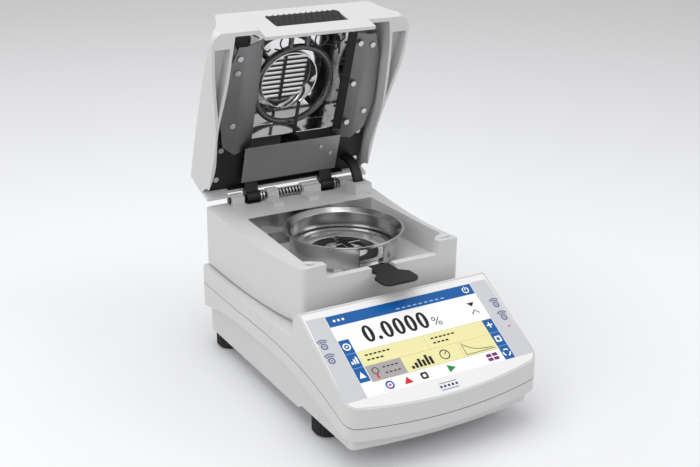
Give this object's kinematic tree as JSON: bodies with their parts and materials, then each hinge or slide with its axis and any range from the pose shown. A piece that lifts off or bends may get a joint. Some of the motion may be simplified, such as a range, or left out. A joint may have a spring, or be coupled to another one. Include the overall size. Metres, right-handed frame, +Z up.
{
  "type": "moisture analyzer",
  "caption": "Bench moisture analyzer with a sloping touch display, a drying chamber with a steel draft shield, a hinged heater lid and levelling feet.",
  "frame": {"origin": "on the table, under the middle of the object with its lid open", "axes": "+Z up, the display faces -Y, +X to the object's right seen from the front"},
  "size_m": [0.2124, 0.3475, 0.3422],
  "materials": {
    "housing_white": "satin",
    "black_parts": "matt",
    "sheet_metal": "satin",
    "polished_steel": "polished",
    "rubber_black": "matt",
    "screw_metal": "bright",
    "display_glass": "gloss",
    "inner_dark": "matt",
    "board_green": "satin",
    "ceramic_white": "matt",
    "heater_tube": "satin",
    "cell_aluminium": "machined"
  },
  "bodies": {
    "base": {"upper_shell": "housing_white", "lower_shell": "housing_white", "touch_glass": "display_glass", "display_module": "inner_dark", "chassis_plate": "sheet_metal", "load_cell": "cell_aluminium", "cell_riser": "cell_aluminium", "spindle": "polished_steel", "main_board": "board_green", "power_supply": "board_green", "mains_inlet": "black_parts", "inlet_pins": "screw_metal", "rocker_frame": "black_parts", "serial_port": "screw_metal", "usb_port": "screw_metal", "network_port": "screw_metal", "chamber_housing": "housing_white", "chamber_liner": "polished_steel", "bumpers": "housing_white", "hinge_block_left": "housing_white", "hinge_block_middle": "housing_white", "hinge_saddle": "housing_white", "cable_tower": "housing_white", "hinge_pin": "screw_metal", "hinge_washers": "screw_metal", "friction_spring": "screw_metal"},
    "lid": {"lid_hood": "housing_white", "lid_front_grille": "black_parts", "lid_frame": "black_parts", "side_plate_left": "sheet_metal", "side_plate_right": "sheet_metal", "lower_plate": "sheet_metal", "reflector": "polished_steel", "reflector_collar": "polished_steel", "heater_ring": "heater_tube", "heater_brackets": "screw_metal", "terminal_block": "ceramic_white", "sensor_rod": "screw_metal", "sensor_holder": "black_parts", "side_rail": "black_parts", "cable_horn": "black_parts", "lid_screws": "screw_metal"},
    "draft_shield": {"draft_shield": "polished_steel", "pan_lifter": "black_parts"},
    "pan_support": {"pan_hub": "black_parts", "pan_cross": "polished_steel"},
    "power_rocker": {"power_rocker": "black_parts"},
    "foot_front_left": {"foot_front_left": "rubber_black", "foot_stud_front_left": "screw_metal"},
    "foot_rear_left": {"foot_rear_left": "rubber_black", "foot_stud_rear_left": "screw_metal"},
    "foot_front_right": {"foot_front_right": "rubber_black", "foot_stud_front_right": "screw_metal"},
    "foot_rear_right": {"foot_rear_right": "rubber_black", "foot_stud_rear_right": "screw_metal"}
  },
  "joints": [
    {"name": "lid_hinge", "type": "hinge", "parent": "base", "child": "lid", "pos_m": [0, 0.131, 0.151], "axis": [1, 0, 0], "range_deg": [0, 72.8]},
    {"name": "draft_shield_lift", "type": "slide", "parent": "base", "child": "draft_shield", "axis": [0, 0, 1], "range_m": [0, 0.003]},
    {"name": "pan_support_lift", "type": "slide", "parent": "base", "child": "pan_support", "axis": [0, 0, 1], "range_m": [0, 0.02]},
    {"name": "power_rocker_tilt", "type": "hinge", "parent": "base", "child": "power_rocker", "pos_m": [-0.034, 0.1345, 0.057], "axis": [1, 0, 0], "range_deg": [-14, 0]},
    {"name": "foot_front_left_turn", "type": "hinge", "parent": "base", "child": "foot_front_left", "pos_m": [-0.076, -0.088, 0.01], "axis": [0, 0, 1], "continuous": true},
    {"name": "foot_rear_left_turn", "type": "hinge", "parent": "base", "child": "foot_rear_left", "pos_m": [-0.076, 0.116, 0.01], "axis": [0, 0, 1], "continuous": true},
    {"name": "foot_front_right_turn", "type": "hinge", "parent": "base", "child": "foot_front_right", "pos_m": [0.076, -0.088, 0.01], "axis": [0, 0, 1], "continuous": true},
    {"name": "foot_rear_right_turn", "type": "hinge", "parent": "base", "child": "foot_rear_right", "pos_m": [0.076, 0.116, 0.01], "axis": [0, 0, 1], "continuous": true}
  ]
}
